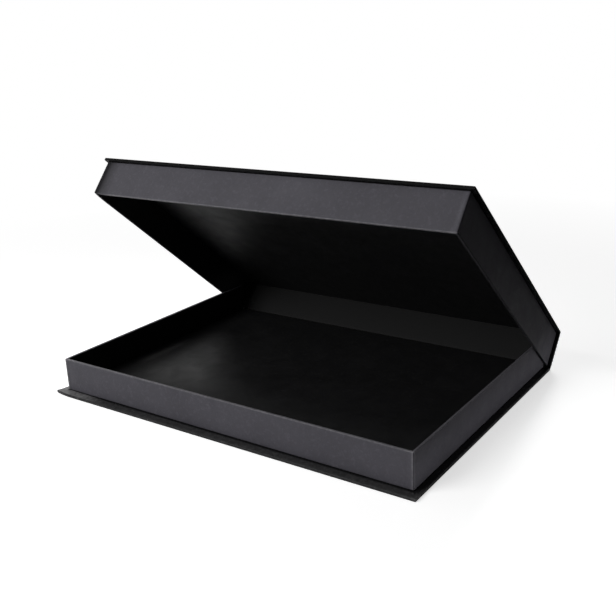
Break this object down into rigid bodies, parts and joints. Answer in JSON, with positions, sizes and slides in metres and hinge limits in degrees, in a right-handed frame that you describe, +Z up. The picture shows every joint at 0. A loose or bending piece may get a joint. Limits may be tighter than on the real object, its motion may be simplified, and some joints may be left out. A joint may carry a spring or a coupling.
{
  "type": "clamshell book box",
  "caption": "Clamshell box for flat sheets: a base tray and a larger lid tray on a hinged spine, with the lid standing open.",
  "frame": {"origin": "middle of the base's underside, where the box rests", "axes": "+X along the hinges to the box's right, +Y from the open front to the spine, +Z up"},
  "size_m": [0.445, 0.3541, 0.2457],
  "materials": {
    "case_covering": "satin",
    "tray_covering": "matte",
    "lining": "matte",
    "greyboard": "matte"
  },
  "bodies": {
    "base": {"base_board": "greyboard", "base_covering": "case_covering", "lower_floor_board": "greyboard", "lower_front_wall": "greyboard", "lower_left_wall": "greyboard", "lower_right_wall": "greyboard", "lower_tray_covering": "tray_covering", "lower_wall_lining": "lining", "lower_floor_lining": "lining"},
    "spine": {"spine_board": "greyboard", "spine_covering": "case_covering", "spine_lining": "lining"},
    "lid": {"lid_board": "greyboard", "lid_covering": "case_covering", "upper_floor_board": "greyboard", "upper_front_wall": "greyboard", "upper_left_wall": "greyboard", "upper_right_wall": "greyboard", "upper_tray_covering": "tray_covering", "upper_wall_lining": "lining", "upper_floor_lining": "lining"}
  },
  "joints": [
    {"name": "spine_hinge", "type": "hinge", "parent": "base", "child": "spine", "pos_m": [0, 0.16179, 0], "axis": [-1, 0, 0], "range_deg": [-40.5, 49.5]},
    {"name": "lid_hinge", "type": "hinge", "parent": "spine", "child": "lid", "pos_m": [0, 0.19231, 0.03574], "axis": [-1, 0, 0], "range_deg": [0, 90]}
  ]
}
